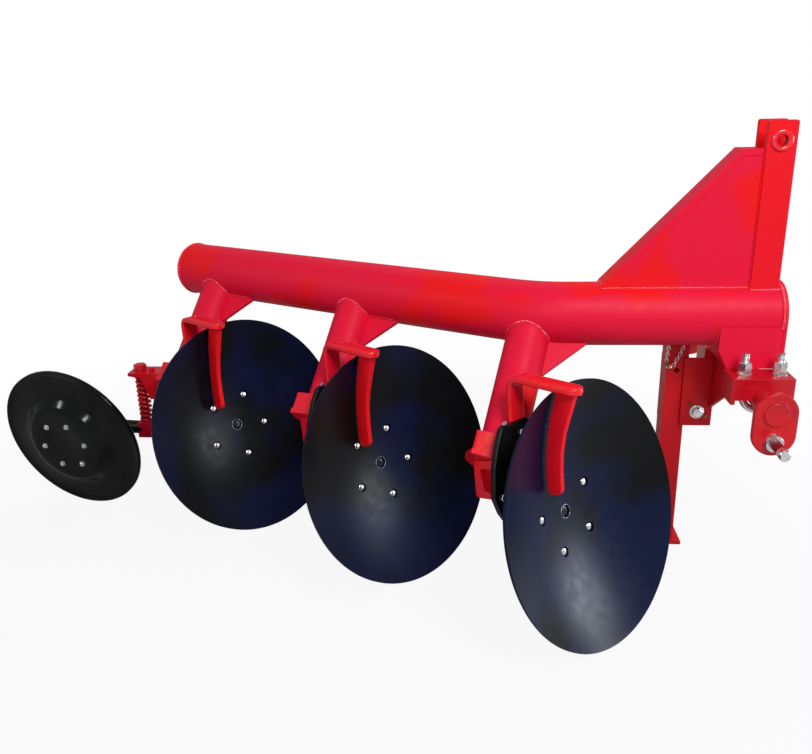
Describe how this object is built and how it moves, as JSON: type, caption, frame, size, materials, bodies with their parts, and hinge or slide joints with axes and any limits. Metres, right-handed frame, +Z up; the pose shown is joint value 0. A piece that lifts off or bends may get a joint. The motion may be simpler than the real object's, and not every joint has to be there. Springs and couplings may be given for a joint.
{
  "type": "mounted disc plough",
  "caption": "Mounted plough with tilted, freely turning dished discs under a bent pipe beam, a three-point hitch, a sprung furrow wheel and a sliding parking stand.",
  "frame": {"origin": "on the ground, at the middle of the footprint of the whole plough", "axes": "+X forward along the direction of work, +Y to the left, +Z up"},
  "size_m": [2.3418, 1.294, 1.214],
  "materials": {
    "red_paint": "gloss",
    "disc_black": "gloss",
    "black_paint": "satin",
    "zinc": "satin"
  },
  "bodies": {
    "frame": {"beam_front_plate": "red_paint", "beam_rear_cap": "red_paint", "clamp_bolt_left": "zinc", "clamp_bolt_right": "zinc", "crank_plate_left": "red_paint", "crank_plate_right": "red_paint", "cross_shaft": "red_paint", "disc_bracket_1": "red_paint", "disc_bracket_2": "red_paint", "disc_bracket_3": "red_paint", "disc_housing_1": "black_paint", "disc_housing_2": "black_paint", "disc_housing_3": "black_paint", "hitch_pin_left": "zinc", "hitch_pin_right": "zinc", "hitch_saddle": "red_paint", "main_beam": "red_paint", "mast_bar_left": "red_paint", "mast_bar_right": "red_paint", "mast_stay": "red_paint", "scraper_arm_1": "red_paint", "scraper_arm_2": "red_paint", "scraper_arm_3": "red_paint", "scraper_blade_1": "red_paint", "scraper_blade_2": "red_paint", "scraper_blade_3": "red_paint", "shaft_clamp_left": "red_paint", "shaft_clamp_right": "red_paint", "spring_cap": "red_paint", "stand_bracket": "red_paint", "standard_1": "red_paint", "standard_2": "red_paint", "standard_3": "red_paint", "wheel_arm": "black_paint", "wheel_collar": "red_paint", "wheel_spring": "red_paint", "wheel_support": "red_paint"},
    "front_disc": {"disc_1": "disc_black", "disc_spindle_1": "black_paint"},
    "middle_disc": {"disc_2": "disc_black", "disc_spindle_2": "black_paint"},
    "rear_disc": {"disc_3": "disc_black", "disc_spindle_3": "black_paint"},
    "wheel": {"furrow_wheel": "black_paint"},
    "stand": {"stand_leg": "red_paint"}
  },
  "joints": [
    {"name": "front_disc_spin", "type": "hinge", "parent": "frame", "child": "front_disc", "pos_m": [0.61149, -0.33186, 0.29022], "axis": [0.7125, -0.6393, 0.289], "continuous": true},
    {"name": "middle_disc_spin", "type": "hinge", "parent": "frame", "child": "middle_disc", "pos_m": [0.11422, -0.05736, 0.29022], "axis": [0.7125, -0.6393, 0.289], "continuous": true},
    {"name": "rear_disc_spin", "type": "hinge", "parent": "frame", "child": "rear_disc", "pos_m": [-0.38304, 0.21715, 0.29022], "axis": [0.7125, -0.6393, 0.289], "continuous": true},
    {"name": "wheel_spin", "type": "hinge", "parent": "frame", "child": "wheel", "pos_m": [-0.92811, 0.18976, 0.24591], "axis": [-0.2382, -0.9556, -0.1736], "continuous": true},
    {"name": "stand_slide", "type": "slide", "parent": "frame", "child": "stand", "axis": [0, 0, 1], "range_m": [0, 0.3]}
  ]
}
